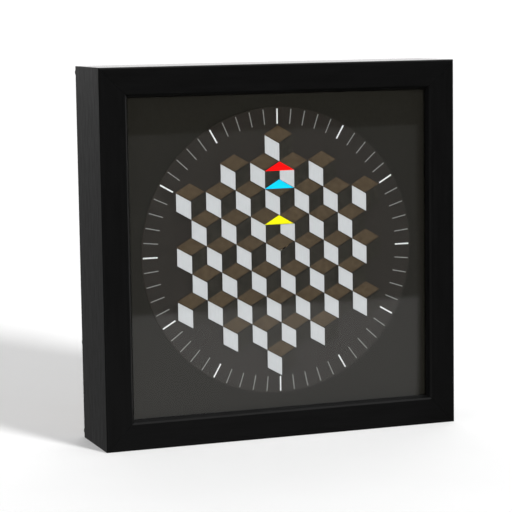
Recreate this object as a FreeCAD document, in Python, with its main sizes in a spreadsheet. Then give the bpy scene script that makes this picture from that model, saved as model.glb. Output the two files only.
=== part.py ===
import FreeCAD, Part
import math
import os
import Sketcher

# A framed wall and desk clock. Three clear discs turn in front of a square dial, and each
# carries one third of a pattern of cubes and one flat triangle that points out the time.
# X runs to the right seen from the front, Y into the clock, Z up. The origin is the middle
# of the underside. Depths are counted from the front of the frame, in millimetres.

DIMENSIONS = {
    # frame
    "frame_size": 250.0,
    "frame_depth": 56.0,
    "bumper_height": 3.0,
    "front_y": -29.5,
    "axis_height": 125.0,
    "lip_half": 105.0,
    "flat_half": 107.6,
    "edge_break": 0.9,
    "lip_depth": 4.2,
    "cavity_half": 113.0,
    "rebate_half": 116.5,
    "panel_depth": 53.0,
    "fit_gap": 0.3,
    "block_side": 12.0,
    # glazing, spacers and dial
    "glass_thick": 1.5,
    "spacer_half": 108.5,
    "board_depth": 10.4,
    "board_thick": 5.0,
    "plate_radius": 96.0,
    "plate_thick": 0.5,
    "tick_thick": 0.1,
    "tick_inner": 85.0,
    "tick_outer": 95.0,
    "major_width": 0.9,
    "minor_width": 0.62,
    "nut_pocket_radius": 8.0,
    "nut_pocket_depth": 2.2,
    # pattern discs
    "cube_edge": 12.0,
    "tile_gap": 0.12,
    "tile_thick": 0.2,
    "disc_radius": 95.6,
    "disc_thick": 0.5,
    "second_depth": 6.3,
    "minute_depth": 7.5,
    "hour_depth": 8.7,
    "run_gap": 0.06,
    "minute_collet_radius": 1.9,
    "minute_collet_thick": 0.3,
    "hour_flange_radius": 5.5,
    "hour_flange_thick": 0.7,
    "hour_sleeve_radius": 3.2,
    "hour_sleeve_thick": 0.9,
    # movement
    "case_half": 28.0,
    "case_depth": 15.4,
    "case_thick": 16.0,
    "case_wall": 1.2,
    "battery_radius": 7.1,
    "battery_length": 49.4,
    "battery_drop": 18.5,
    "divider_drop": 9.8,
    "battery_floor": 0.8,
    "cell_nub_radius": 2.7,
    "contact_thick": 0.5,
    "contact_width": 12.0,
    "contact_height": 9.0,
    "bush_radius": 4.0,
    "bush_length": 6.1,
    "bush_flange_radius": 5.5,
    "bush_flange_thick": 0.4,
    "nut_corner_radius": 6.35,
    "nut_thick": 2.0,
    "hour_pipe_radius": 2.0,
    "minute_pipe_radius": 1.0,
    "second_arbor_radius": 0.5,
    "thin_arbor_radius": 0.4,
    "knob_arbor_radius": 1.0,
    "stud_radius": 0.5,
    "pivot_gap": 0.04,
    "magnet_radius": 2.2,
    "magnet_length": 2.0,
    "gear_thick": 0.7,
    "bridge_depth": 27.0,
    "bridge_thick": 0.8,
    "post_radius": 1.0,
    "stator_hole_radius": 2.7,
    "stator_thick": 1.0,
    "coil_x": 22.0,
    "coil_length": 18.2,
    "coil_radius": 2.4,
    "core_width": 1.8,
    "tube_width": 2.6,
    "cheek_width": 6.0,
    "cheek_thick": 0.8,
    "circuit_depth": 24.0,
    "circuit_thick": 0.8,
    "chip_radius": 2.6,
    "chip_thick": 1.0,
    "crystal_radius": 1.0,
    "crystal_length": 6.0,
    "knob_radius": 7.0,
    "knob_height": 5.0,
    # rear fittings
    "window_half": 36.0,
    "button_length": 30.0,
    "button_width": 8.0,
    "button_thick": 1.2,
    "screw_radius": 1.5,
    "screw_head_radius": 3.0,
    "screw_head_height": 1.3,
    "hanger_width": 45.0,
    "hanger_height": 7.5,
    "hanger_thick": 0.9,
    "hanger_raise": 1.5,
    "bumper_radius": 3.8,
}

# Gear train: teeth and modules. The centre distances follow from them.
SECOND_TRAIN = {"rotor": 8, "fifth": 48, "fifth_pinion": 10, "second": 50, "second_pinion": 8,
                "third": 60, "third_pinion": 8, "centre": 64}
MOTION_WORK = {"cannon": 12, "motion": 36, "motion_pinion": 10, "hour": 40, "setting": 12}
ROTOR_MODULE = 0.20
FIFTH_MODULE = 0.28
THIRD_MODULE = 0.24
MOTION_MODULE = 0.30
PILOT_LENGTH = 8.0
# depth of the front face of each layer of gears
LAYERS = {"hour": 17.2, "motion": 18.4, "centre": 19.6, "third": 20.8, "second": 22.0, "fifth": 23.2,
          "rotor": 24.4}

doc = FreeCAD.newDocument("cube_clock")
sheet = doc.addObject("Spreadsheet::Sheet", "dims")
for row, (alias, number) in enumerate(DIMENSIONS.items(), start=1):
    sheet.set("A%d" % row, alias)
    sheet.set("B%d" % row, str(number))
    sheet.setAlias("B%d" % row, alias)
doc.recompute()


class Size:
    """A length with its value and the sheet expression that gives it."""

    def __init__(self, value, text):
        self.value = value
        self.text = text

    def __add__(self, other):
        return joined(self, "+", other)

    def __radd__(self, other):
        return joined(other, "+", self)

    def __sub__(self, other):
        return joined(self, "-", other)

    def __rsub__(self, other):
        return joined(other, "-", self)

    def __mul__(self, other):
        return joined(self, "*", other)

    def __rmul__(self, other):
        return joined(other, "*", self)

    def __truediv__(self, other):
        return joined(self, "/", other)

    def __neg__(self):
        return joined(0, "-", self)


def size(thing):
    return thing if isinstance(thing, Size) else Size(float(thing), repr(float(thing)))


def joined(left, sign, right):
    left, right = size(left), size(right)
    if sign == "+":
        value = left.value + right.value
    elif sign == "-":
        value = left.value - right.value
    elif sign == "*":
        value = left.value * right.value
    else:
        value = left.value / right.value
    return Size(value, "(%s %s %s)" % (left.text, sign, right.text))


class Sheet:
    """Every alias of the sheet as a Size."""


D = Sheet()
for alias in DIMENSIONS:
    setattr(D, alias, Size(float(sheet.get(alias)), "dims." + alias))

FRONT = D.front_y
AXIS_Z = D.axis_height
HALF = D.frame_size / 2
ALONG_Y = FreeCAD.Rotation(FreeCAD.Vector(1, 0, 0), -90)


# ---- small makers ----------------------------------------------------------------------------

def bind(thing, prop, length):
    thing.setExpression(prop, size(length).text)


def place(thing, x, y, z):
    bind(thing, "Placement.Base.x", x)
    bind(thing, "Placement.Base.y", y)
    bind(thing, "Placement.Base.z", z)


def new(kind, label):
    thing = doc.addObject(kind, label)
    thing.Label = label
    return thing


def box(label, x, depth, z, width, thick, height):
    """A box from its low corner. x and z are counted from the dial's axis."""
    made = new("Part::Box", label)
    bind(made, "Length", width)
    bind(made, "Width", thick)
    bind(made, "Height", height)
    place(made, x, FRONT + depth, AXIS_Z + z)
    return made


def rod(label, x, depth, z, radius, length):
    """A cylinder along Y, from its front end."""
    made = new("Part::Cylinder", label)
    bind(made, "Radius", radius)
    bind(made, "Height", length)
    made.Placement = FreeCAD.Placement(FreeCAD.Vector(), ALONG_Y)
    place(made, x, FRONT + depth, AXIS_Z + z)
    return made


def cut(label, base, *tools):
    tool = tools[0] if len(tools) == 1 else fuse(label + "_tools", *tools)
    made = new("Part::Cut", label)
    made.Base = base
    made.Tool = tool
    return made


def fuse(label, *pieces):
    made = new("Part::MultiFuse", label)
    made.Shapes = list(pieces)
    return made


def group(label, *pieces):
    made = new("Part::Compound", label)
    made.Links = list(pieces)
    return made


def feature(label, shape):
    """A finished shape, drawn about the dial's axis with its depths along Y."""
    made = new("Part::Feature", label)
    made.Shape = shape
    shift = FreeCAD.Placement(
        FreeCAD.Vector(0, D.front_y.value, D.axis_height.value), FreeCAD.Rotation())
    made.Placement = shift.multiply(shape.Placement)
    return made


def sketch(body, name, role, outlines):
    """Closed outlines of straight lines on a plane of the body, each corner bound to the sheet."""
    made = body.newObject("Sketcher::SketchObject", name)
    plane = [item for item in body.Origin.OriginFeatures if item.Role == role][0]
    made.AttachmentSupport = (plane, [""])
    made.MapMode = "FlatFace"
    for outline in outlines:
        corners = [(size(a), size(b)) for a, b in outline]
        first = made.GeometryCount
        for here, there in zip(corners, corners[1:] + corners[:1]):
            start = FreeCAD.Vector(here[0].value, here[1].value, 0)
            end = FreeCAD.Vector(there[0].value, there[1].value, 0)
            made.addGeometry(Part.LineSegment(start, end))
        for index in range(len(corners)):
            following = first + (index + 1) % len(corners)
            made.addConstraint(Sketcher.Constraint("Coincident", first + index, 2, following, 1))
        for index, corner in enumerate(corners):
            for kind, length in zip(("DistanceX", "DistanceY"), corner):
                rule = Sketcher.Constraint(kind, first + index, 1, length.value)
                number = made.addConstraint(rule)
                made.setExpression("Constraints[%d]" % number, length.text)
    return made


def pad(body, name, profile, length, two_sided=False, backwards=False):
    made = body.newObject("PartDesign::Pad", name)
    made.Profile = profile
    made.SideType = "Symmetric" if two_sided else "One side"
    made.Reversed = backwards
    bind(made, "Length", length)
    return made


def pocket(body, name, profile, length):
    """A pocket that cuts both ways from its sketch."""
    made = body.newObject("PartDesign::Pocket", name)
    made.Profile = profile
    made.SideType = "Symmetric"
    bind(made, "Length", length)
    return made


# ---- frame -----------------------------------------------------------------------------------

def rail(label, turn):
    """One mitred side of the frame: its section padded along X, its ends cut at 45 degrees."""
    body = new("PartDesign::Body", label)
    section = [
        (0, HALF), (0, D.flat_half), (D.edge_break, D.flat_half - D.edge_break),
        (D.lip_depth, D.lip_half), (D.lip_depth, D.cavity_half), (D.panel_depth, D.cavity_half),
        (D.panel_depth, D.rebate_half), (D.frame_depth, D.rebate_half), (D.frame_depth, HALF),
    ]
    pad(body, label + "_pad", sketch(body, label + "_section", "YZ_Plane", [section]),
        D.frame_size, two_sided=True)
    doc.recompute()
    whole = body.Shape.Volume
    near, far = D.lip_half - 1, HALF + 1
    ends = [[(side * near, near), (side * far, far), (side * far, near)] for side in (1, -1)]
    pocket(body, label + "_mitres", sketch(body, label + "_ends", "XZ_Plane", ends),
           D.frame_depth * 3)
    body.Placement = FreeCAD.Placement(
        FreeCAD.Vector(), FreeCAD.Rotation(FreeCAD.Vector(0, 1, 0), turn))
    place(body, 0, FRONT, AXIS_Z)
    doc.recompute()
    if body.Shape.Volume > 0.97 * whole:
        raise RuntimeError(label + ": the mitres cut nothing")
    return body


def rear_screw_spots():
    """Where screws go into each rail from behind: its turn button's, and the hanger's two."""
    pivot = (HALF + D.rebate_half) / 2
    hanger = D.hanger_width / 2 - 4.0
    return {"rail_top": [(size(-60.0), pivot), (-hanger, pivot), (hanger, pivot)],
            "rail_bottom": [(size(60.0), -pivot)],
            "rail_left": [(-pivot, size(-60.0))],
            "rail_right": [(pivot, size(60.0))]}


def frame_parts():
    rails = []
    for label, turn in (("rail_top", 0), ("rail_right", 90), ("rail_bottom", 180),
                        ("rail_left", 270)):
        blank = rail(label + "_body", turn)
        pilots = [rod("%s_pilot_%d" % (label, index), x, D.frame_depth - PILOT_LENGTH, z,
                      D.screw_radius, PILOT_LENGTH + 2)
                  for index, (x, z) in enumerate(rear_screw_spots()[label])]
        rails.append(cut(label, blank, *pilots))
    block_length = D.panel_depth - D.board_depth - D.board_thick
    blocks = []
    for index, (sx, sz) in enumerate(((-1, 1), (1, 1), (1, -1), (-1, -1))):
        x = D.cavity_half * sx - (D.block_side if sx > 0 else 0)
        z = D.cavity_half * sz - (D.block_side if sz > 0 else 0)
        blocks.append(box("corner_block_%d" % index, x, D.board_depth + D.board_thick, z,
                          D.block_side, block_length, D.block_side))
    return rails + [group("corner_blocks", *blocks)]


# ---- glazing, spacers, dial ------------------------------------------------------------------

def dial_parts():
    half = D.cavity_half - D.fit_gap
    glass = box("glazing_pane", -half, D.lip_depth, -half, half * 2, D.glass_thick, half * 2)
    gap_front = D.lip_depth + D.glass_thick
    gap = D.board_depth - gap_front
    wide = D.cavity_half - D.spacer_half
    long, short = D.cavity_half * 2, D.spacer_half * 2
    spacers = [
        box("spacer_top", -D.cavity_half, gap_front, D.spacer_half, long, gap, wide),
        box("spacer_bottom", -D.cavity_half, gap_front, -D.cavity_half, long, gap, wide),
        box("spacer_left", -D.cavity_half, gap_front, -D.spacer_half, wide, gap, short),
        box("spacer_right", D.spacer_half, gap_front, -D.spacer_half, wide, gap, short),
    ]
    board = cut(
        "dial_board",
        box("board_blank", -half, D.board_depth, -half, half * 2, D.board_thick, half * 2),
        rod("board_hole", 0, D.board_depth - 1, 0, D.bush_radius + 0.1, D.board_thick + 2),
        rod("board_pocket", 0, D.board_depth - 1, 0, D.nut_pocket_radius, D.nut_pocket_depth + 1))
    plate_front = D.board_depth - D.plate_thick
    plate = cut(
        "dial_plate",
        rod("plate_blank", 0, plate_front, 0, D.plate_radius, D.plate_thick),
        rod("plate_hole", 0, plate_front - 1, 0, D.nut_pocket_radius, D.plate_thick + 2))
    return [glass] + spacers + [board, plate] + tick_parts(plate_front)


def tick_parts(plate_front):
    """Sixty raised strokes round the dial, every fifth one wider: two rings of separate boxes,
    each turned about the dial's axis."""
    majors, minors = [], []
    low = plate_front.value - D.tick_thick.value
    length = D.tick_outer.value - D.tick_inner.value
    for minute in range(60):
        wide = D.major_width.value if minute % 5 == 0 else D.minor_width.value
        stroke = Part.makeBox(wide, D.tick_thick.value, length,
                              FreeCAD.Vector(-wide / 2, low, D.tick_inner.value))
        stroke.rotate(FreeCAD.Vector(), FreeCAD.Vector(0, 1, 0), minute * 6.0)
        (majors if minute % 5 == 0 else minors).append(stroke)
    return [feature("major_ticks", Part.makeCompound(majors)),
            feature("minor_ticks", Part.makeCompound(minors))]


# ---- pattern discs ---------------------------------------------------------------------------

def cube_centres():
    """The middles of the cubes, in rows of 1, 4, 7, 6, 7, 6, 7, 4 and 1."""
    edge = D.cube_edge.value
    pitch = edge * math.sqrt(3)
    rows = {0: 7, 1: 6, 2: 7, 3: 4, 4: 1}
    for level in range(-4, 5):
        count = rows[abs(level)]
        for index in range(count):
            yield (index - (count - 1) / 2) * pitch, level * 1.5 * edge


def pointer_outline(tip_radius):
    """A flat triangle with its tip outwards: a third of a hexagon of the cube's size."""
    half_base = D.cube_edge * (math.sqrt(3) / 2)
    base = tip_radius - D.cube_edge / 2
    return [(-half_base, base), (half_base, base), (size(0), tip_radius)]


def pointer_window(tip_radius, depth):
    """A cutter for the tiles in front of a pointer, so that it shows when the discs are aligned."""
    corners = [FreeCAD.Vector(x.value, depth.value - 1, z.value)
               for x, z in pointer_outline(tip_radius)]
    face = Part.Face(Part.makePolygon(corners + corners[:1]))
    return face.extrude(FreeCAD.Vector(0, D.tile_thick.value + 2, 0))


def tiles(label, depth, turn, hole_radius, window=None):
    """One face of every cube, a lattice of separate flat tiles. Each is a rhomb with one corner
    at the cube's middle."""
    edge = D.cube_edge.value
    inset = D.tile_gap.value
    solids = []
    for x, z in cube_centres():
        corners = [(0.0, 0.0)]
        for reach, angle in ((edge, turn), (edge, turn + 60), (edge, turn + 120)):
            corners.append((reach * math.cos(math.radians(angle)),
                            reach * math.sin(math.radians(angle))))
        middle = (sum(c[0] for c in corners) / 4, sum(c[1] for c in corners) / 4)
        shrink = 1 - inset / (edge * math.sqrt(3) / 4)
        points = [FreeCAD.Vector(x + middle[0] + (cx - middle[0]) * shrink, depth.value,
                                 z + middle[1] + (cz - middle[1]) * shrink) for cx, cz in corners]
        face = Part.Face(Part.makePolygon(points + points[:1]))
        solids.append(face.extrude(FreeCAD.Vector(0, D.tile_thick.value, 0)))
    if hole_radius:
        hole = Part.makeCylinder(hole_radius, 5, FreeCAD.Vector(0, depth.value - 1, 0),
                                 FreeCAD.Vector(0, 1, 0))
        solids = [solid.cut(hole).Solids[0] if solid.distToShape(hole)[0] < 0.01 else solid
                  for solid in solids]
    if window:
        solids = [solid.cut(window).Solids[0] if solid.common(window).Volume > 0.1 else solid
                  for solid in solids]
    return feature(label, Part.makeCompound(solids))


def pointer(label, depth, tip_radius):
    body = new("PartDesign::Body", label)
    outline = pointer_outline(tip_radius)
    pad(body, label + "_pad", sketch(body, label + "_outline", "XZ_Plane", [outline]),
        D.tile_thick)
    place(body, 0, FRONT + depth, AXIS_Z)
    return body


def disc(label, depth, hole_radius):
    blank = rod(label if not hole_radius else label + "_blank", 0, depth + D.tile_thick, 0,
                D.disc_radius, D.disc_thick)
    if not hole_radius:
        return blank
    return cut(label, blank, rod(label + "_hole", 0, depth - 1, 0, hole_radius, 5))


def disc_parts():
    gap = D.run_gap
    minute_hole = D.second_arbor_radius + gap
    hour_hole = D.minute_pipe_radius + gap
    hour_tip = D.cube_edge * 2
    made = [
        disc("second_disc", D.second_depth, None),
        tiles("second_tiles", D.second_depth, 150, None,
              pointer_window(hour_tip, D.second_depth)),
        disc("minute_disc", D.minute_depth, minute_hole),
        tiles("minute_tiles", D.minute_depth, 270, minute_hole.value,
              pointer_window(hour_tip, D.minute_depth)),
        disc("hour_disc", D.hour_depth, hour_hole),
        tiles("hour_tiles", D.hour_depth, 30, hour_hole.value),
        pointer("second_pointer", D.second_depth, D.cube_edge * 5),
        pointer("minute_pointer", D.minute_depth, D.cube_edge * 4),
        pointer("hour_pointer", D.hour_depth, hour_tip),
    ]
    minute_back = D.minute_depth + D.tile_thick + D.disc_thick
    hour_back = D.hour_depth + D.tile_thick + D.disc_thick
    made.append(cut(
        "minute_collet",
        rod("minute_collet_blank", 0, minute_back, 0, D.minute_collet_radius,
            D.minute_collet_thick),
        rod("minute_collet_hole", 0, minute_back - 1, 0, minute_hole, 3)))
    made.append(cut(
        "hour_collet",
        fuse("hour_collet_blank",
             rod("hour_flange", 0, hour_back, 0, D.hour_flange_radius, D.hour_flange_thick),
             rod("hour_sleeve", 0, hour_back, 0, D.hour_sleeve_radius, D.hour_sleeve_thick)),
        rod("hour_collet_hole", 0, hour_back - 1, 0, D.hour_pipe_radius, 4)))
    return made


# ---- gears -----------------------------------------------------------------------------------

def gear_face(teeth, module, phase, addendum, bore):
    """The outline of a spur gear as a face in the XZ plane, each flank two straight pieces of an
    involute of 20 degrees. Teeth are thinned to leave backlash."""
    pitch_radius = teeth * module / 2
    base_radius = pitch_radius * math.cos(math.radians(20))
    tip = pitch_radius + addendum * module
    root = pitch_radius - 1.1 * module
    half_thick = 0.40 * math.pi / teeth

    def involute(radius):
        if radius <= base_radius:
            return 0.0
        angle = math.acos(base_radius / radius)
        return math.tan(angle) - angle

    points = []
    for tooth in range(teeth):
        middle = phase + 2 * math.pi * tooth / teeth
        flank = []
        for radius in (root, pitch_radius, tip):
            swing = half_thick + involute(pitch_radius) - involute(radius)
            flank.append((radius, max(swing, 0.08 / teeth)))
        sides = [(r, middle - a) for r, a in flank] + [(r, middle + a) for r, a in reversed(flank)]
        points += [FreeCAD.Vector(r * math.cos(a), 0, r * math.sin(a)) for r, a in sides]
    outline = Part.Face(Part.makePolygon(points + points[:1]))
    if not bore:
        return outline
    circle = Part.makeCircle(bore, FreeCAD.Vector(), FreeCAD.Vector(0, 1, 0))
    return outline.cut(Part.Face(Part.Wire(circle)))


def gear(teeth, module, phase, depth, thick, addendum=0.7, bore=None):
    face = gear_face(teeth, module, phase, addendum, bore)
    face.translate(FreeCAD.Vector(0, depth, 0))
    return face.extrude(FreeCAD.Vector(0, thick, 0))


def bar(radius, start, end, bore=None):
    """A round bar or tube along Y between two depths."""
    made = Part.makeCylinder(radius, end - start, FreeCAD.Vector(0, start, 0),
                             FreeCAD.Vector(0, 1, 0))
    if bore:
        inner = Part.makeCylinder(bore, end - start + 2, FreeCAD.Vector(0, start - 1, 0),
                                  FreeCAD.Vector(0, 1, 0))
        made = made.cut(inner)
    return made


def meshing_phase(direction, driver_teeth, driver_phase, teeth):
    """The phase that puts a gap of the second gear against a tooth of the first."""
    steps = (direction - driver_phase) * driver_teeth / (2 * math.pi)
    return direction + math.pi + (steps + 0.5) * 2 * math.pi / teeth


def wheel_feature(label, spot, *solids):
    whole = solids[0]
    if len(solids) > 1:
        whole = solids[0].multiFuse(list(solids[1:])).removeSplitter()
    whole.translate(FreeCAD.Vector(spot[0], 0, spot[1]))
    return feature(label, whole)


def polar(distance, degrees, start=(0.0, 0.0)):
    return (start[0] + distance * math.cos(math.radians(degrees)),
            start[1] + distance * math.sin(math.radians(degrees)))


def train_spots():
    """The arbors' places in the XZ plane, from the gears' centre distances."""
    count = SECOND_TRAIN
    third_distance = (count["second_pinion"] + count["third"]) * THIRD_MODULE / 2
    fifth_distance = (count["fifth_pinion"] + count["second"]) * FIFTH_MODULE / 2
    rotor_distance = (count["rotor"] + count["fifth"]) * ROTOR_MODULE / 2
    motion_distance = (MOTION_WORK["cannon"] + MOTION_WORK["motion"]) * MOTION_MODULE / 2
    fifth = polar(fifth_distance, -20)
    motion = polar(motion_distance, 90)
    return {"centre": (0.0, 0.0), "third": polar(third_distance, 180), "fifth": fifth,
            "rotor": polar(rotor_distance, 0, fifth), "motion": motion,
            "setting": polar(motion_distance, 90, motion)}


def second_train(spots):
    """Rotor, fifth wheel, second arbor, third wheel and centre wheel, all in mesh."""
    count, thick = SECOND_TRAIN, D.gear_thick.value
    thin = D.thin_arbor_radius.value
    plate = D.case_depth.value + D.case_wall.value
    pivot_front = plate - 0.6
    pivot_back = D.bridge_depth.value + D.bridge_thick.value - 0.2
    turn = math.radians
    third_distance = abs(spots["third"][0])
    centre_module = 2 * third_distance / (count["third_pinion"] + count["centre"])

    second_phase = turn(90)
    pinion_phase = turn(90)
    third_phase = meshing_phase(turn(180), count["second_pinion"], pinion_phase, count["third"])
    third_pinion_phase = third_phase
    centre_phase = meshing_phase(0.0, count["third_pinion"], third_pinion_phase, count["centre"])
    fifth_pinion_phase = meshing_phase(turn(-20), count["second"], second_phase,
                                       count["fifth_pinion"])
    rotor_phase = meshing_phase(0.0, count["fifth"], fifth_pinion_phase, count["rotor"])

    second_back = D.second_depth.value + D.tile_thick.value + D.disc_thick.value
    second = wheel_feature(
        "second_arbor", spots["centre"],
        bar(D.second_arbor_radius.value, second_back, pivot_back),
        gear(count["second_pinion"], THIRD_MODULE, pinion_phase, LAYERS["third"], thick, 0.9),
        gear(count["second"], FIFTH_MODULE, second_phase, LAYERS["second"], thick))
    third = wheel_feature(
        "third_wheel", spots["third"],
        bar(thin, pivot_front, pivot_back),
        gear(count["third_pinion"], centre_module, third_pinion_phase, LAYERS["centre"], thick,
             0.9),
        gear(count["third"], THIRD_MODULE, third_phase, LAYERS["third"], thick))
    centre = wheel_feature(
        "centre_wheel", spots["centre"],
        gear(count["centre"], centre_module, centre_phase, LAYERS["centre"], thick, 0.7,
             D.minute_pipe_radius.value + 0.05))
    fifth = wheel_feature(
        "fifth_wheel", spots["fifth"],
        bar(thin, pivot_front, pivot_back),
        gear(count["fifth_pinion"], FIFTH_MODULE, fifth_pinion_phase, LAYERS["second"], thick,
             0.9),
        gear(count["fifth"], ROTOR_MODULE, fifth_pinion_phase, LAYERS["fifth"], thick))
    rotor = wheel_feature(
        "rotor", spots["rotor"],
        bar(thin, pivot_front, pivot_back),
        gear(count["rotor"], ROTOR_MODULE, rotor_phase, LAYERS["fifth"], thick, 0.9),
        bar(D.magnet_radius.value, LAYERS["rotor"], LAYERS["rotor"] + D.magnet_length.value))
    return [second, third, centre, fifth, rotor]


def motion_work(spots):
    """Minute arbor, motion wheel, hour wheel and the setting knob, all in mesh."""
    count, thick = MOTION_WORK, D.gear_thick.value
    turn = math.radians
    distance = spots["motion"][1]
    hour_module = 2 * distance / (count["motion_pinion"] + count["hour"])
    cannon_phase = turn(90)
    motion_phase = meshing_phase(turn(90), count["cannon"], cannon_phase, count["motion"])
    hour_phase = meshing_phase(turn(-90), count["motion_pinion"], motion_phase, count["hour"])
    setting_phase = meshing_phase(turn(90), count["motion"], motion_phase, count["setting"])
    gap = D.run_gap.value
    stud_bore = D.stud_radius.value + gap
    minute_back = D.minute_depth.value + D.tile_thick.value + D.disc_thick.value
    hour_back = D.hour_depth.value + D.tile_thick.value + D.disc_thick.value
    minute = wheel_feature(
        "minute_arbor", spots["centre"],
        bar(D.minute_pipe_radius.value, minute_back + D.minute_collet_thick.value,
            LAYERS["third"] - 0.15,
            D.second_arbor_radius.value + gap),
        gear(count["cannon"], MOTION_MODULE, cannon_phase, LAYERS["motion"], thick, 0.9,
             D.second_arbor_radius.value + gap))
    hour = wheel_feature(
        "hour_wheel", spots["centre"],
        bar(D.hour_pipe_radius.value, hour_back, LAYERS["hour"] + thick,
            D.minute_pipe_radius.value + gap),
        gear(count["hour"], hour_module, hour_phase, LAYERS["hour"], thick, 0.7,
             D.minute_pipe_radius.value + gap))
    motion = wheel_feature(
        "motion_wheel", spots["motion"],
        gear(count["motion_pinion"], hour_module, motion_phase, LAYERS["hour"],
             LAYERS["motion"] - LAYERS["hour"] + 0.1, 0.9, stud_bore),
        gear(count["motion"], MOTION_MODULE, motion_phase, LAYERS["motion"], thick, 0.7,
             stud_bore))
    case_back = D.case_depth.value + D.case_thick.value
    knob = wheel_feature(
        "setting_knob", spots["setting"],
        bar(D.knob_arbor_radius.value, D.case_depth.value + D.case_wall.value + 0.2,
            case_back + 0.6),
        gear(count["setting"], MOTION_MODULE, setting_phase, LAYERS["motion"], thick, 0.9),
        knurled_knob(case_back + 0.4))
    return [minute, hour, motion, knob]


def knurled_knob(start):
    """The setting knob's head: a round button with flutes round its rim."""
    head = bar(D.knob_radius.value, start, start + D.knob_height.value)
    flutes = []
    for index in range(18):
        x, z = polar(D.knob_radius.value + 0.35, index * 20.0)
        flute = bar(0.8, start + 1.0, start + D.knob_height.value + 1)
        flute.translate(FreeCAD.Vector(x, 0, z))
        flutes.append(flute)
    return head.cut(Part.makeCompound(flutes))


# ---- movement --------------------------------------------------------------------------------

def hole(label, spot, depth, radius, length):
    return rod(label, spot[0], depth, spot[1], radius, length)


def case_parts(spots):
    half, wall = D.case_half, D.case_wall
    inner = half - wall
    back = D.case_depth + D.case_thick
    floor = D.case_depth + wall
    shell = cut(
        "front_shell_tray",
        box("front_shell_blank", -half, D.case_depth, -half, half * 2, D.case_thick - wall,
            half * 2),
        box("front_shell_room", -inner, floor, -D.divider_drop, inner * 2, D.case_thick,
            inner + D.divider_drop),
        box("battery_room", -inner, D.case_depth + D.battery_floor, -inner, inner * 2,
            D.case_thick, inner - D.divider_drop - wall))
    pin_hole = D.thin_arbor_radius + D.pivot_gap
    shell = cut(
        "movement_front_shell",
        fuse("front_shell_with_stud", shell,
             hole("motion_stud", spots["motion"], floor - 0.2, D.stud_radius, 3.0)),
        hole("bush_seat", spots["centre"], D.case_depth - 1, D.bush_radius, 4),
        hole("third_pivot", spots["third"], floor - 0.7, pin_hole, 2),
        hole("fifth_pivot", spots["fifth"], floor - 0.7, pin_hole, 2),
        hole("rotor_pivot", spots["rotor"], floor - 0.7, pin_hole, 2))
    lid = cut(
        "movement_back_shell",
        box("back_shell_blank", -half, back - wall, -D.divider_drop - wall, half * 2, wall,
            half + D.divider_drop + wall),
        hole("knob_hole", spots["setting"], back - wall - 1, D.knob_arbor_radius + D.run_gap, 4))
    bush = cut(
        "threaded_bush",
        fuse("bush_blank",
             rod("bush_tube", 0, D.board_depth + 0.1, 0, D.bush_radius, D.bush_length),
             rod("bush_flange", 0, floor, 0, D.bush_flange_radius, D.bush_flange_thick)),
        rod("bush_bore", 0, D.board_depth - 1, 0, D.hour_pipe_radius + D.run_gap, 9))
    nut_blank = new("Part::Prism", "nut_blank")
    nut_blank.Polygon = 6
    bind(nut_blank, "Circumradius", D.nut_corner_radius)
    bind(nut_blank, "Height", D.nut_thick)
    nut_blank.Placement = FreeCAD.Placement(FreeCAD.Vector(), ALONG_Y)
    place(nut_blank, 0, FRONT + D.board_depth + 0.2, AXIS_Z)
    nut = cut("bush_nut", nut_blank,
              rod("nut_bore", 0, D.board_depth - 1, 0, D.bush_radius, 5))
    return [shell, lid, bush, nut]


def bridge_part(spots):
    """The plate that carries the rear pivots, on two posts."""
    floor = D.case_depth + D.case_wall
    posts = [(-17.5, 0.0), (8.6, 9.6)]
    solid = fuse(
        "bridge_blank",
        box("bridge_plate", -19.5, D.bridge_depth, -6.5, 36.0, D.bridge_thick, 18.0),
        *[hole("bridge_post_%d" % i, spot, floor, D.post_radius, D.bridge_depth - floor + 0.4)
          for i, spot in enumerate(posts)])
    pin_hole = D.thin_arbor_radius + D.pivot_gap
    holes = [hole("bridge_pivot_" + name, spots[name], D.bridge_depth - 1, pin_hole, 3)
             for name in ("third", "fifth", "rotor")]
    centre = hole("bridge_pivot_second", spots["centre"], D.bridge_depth - 1,
                  D.second_arbor_radius + D.pivot_gap, 3)
    return cut("train_bridge", solid, centre, *holes)


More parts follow.
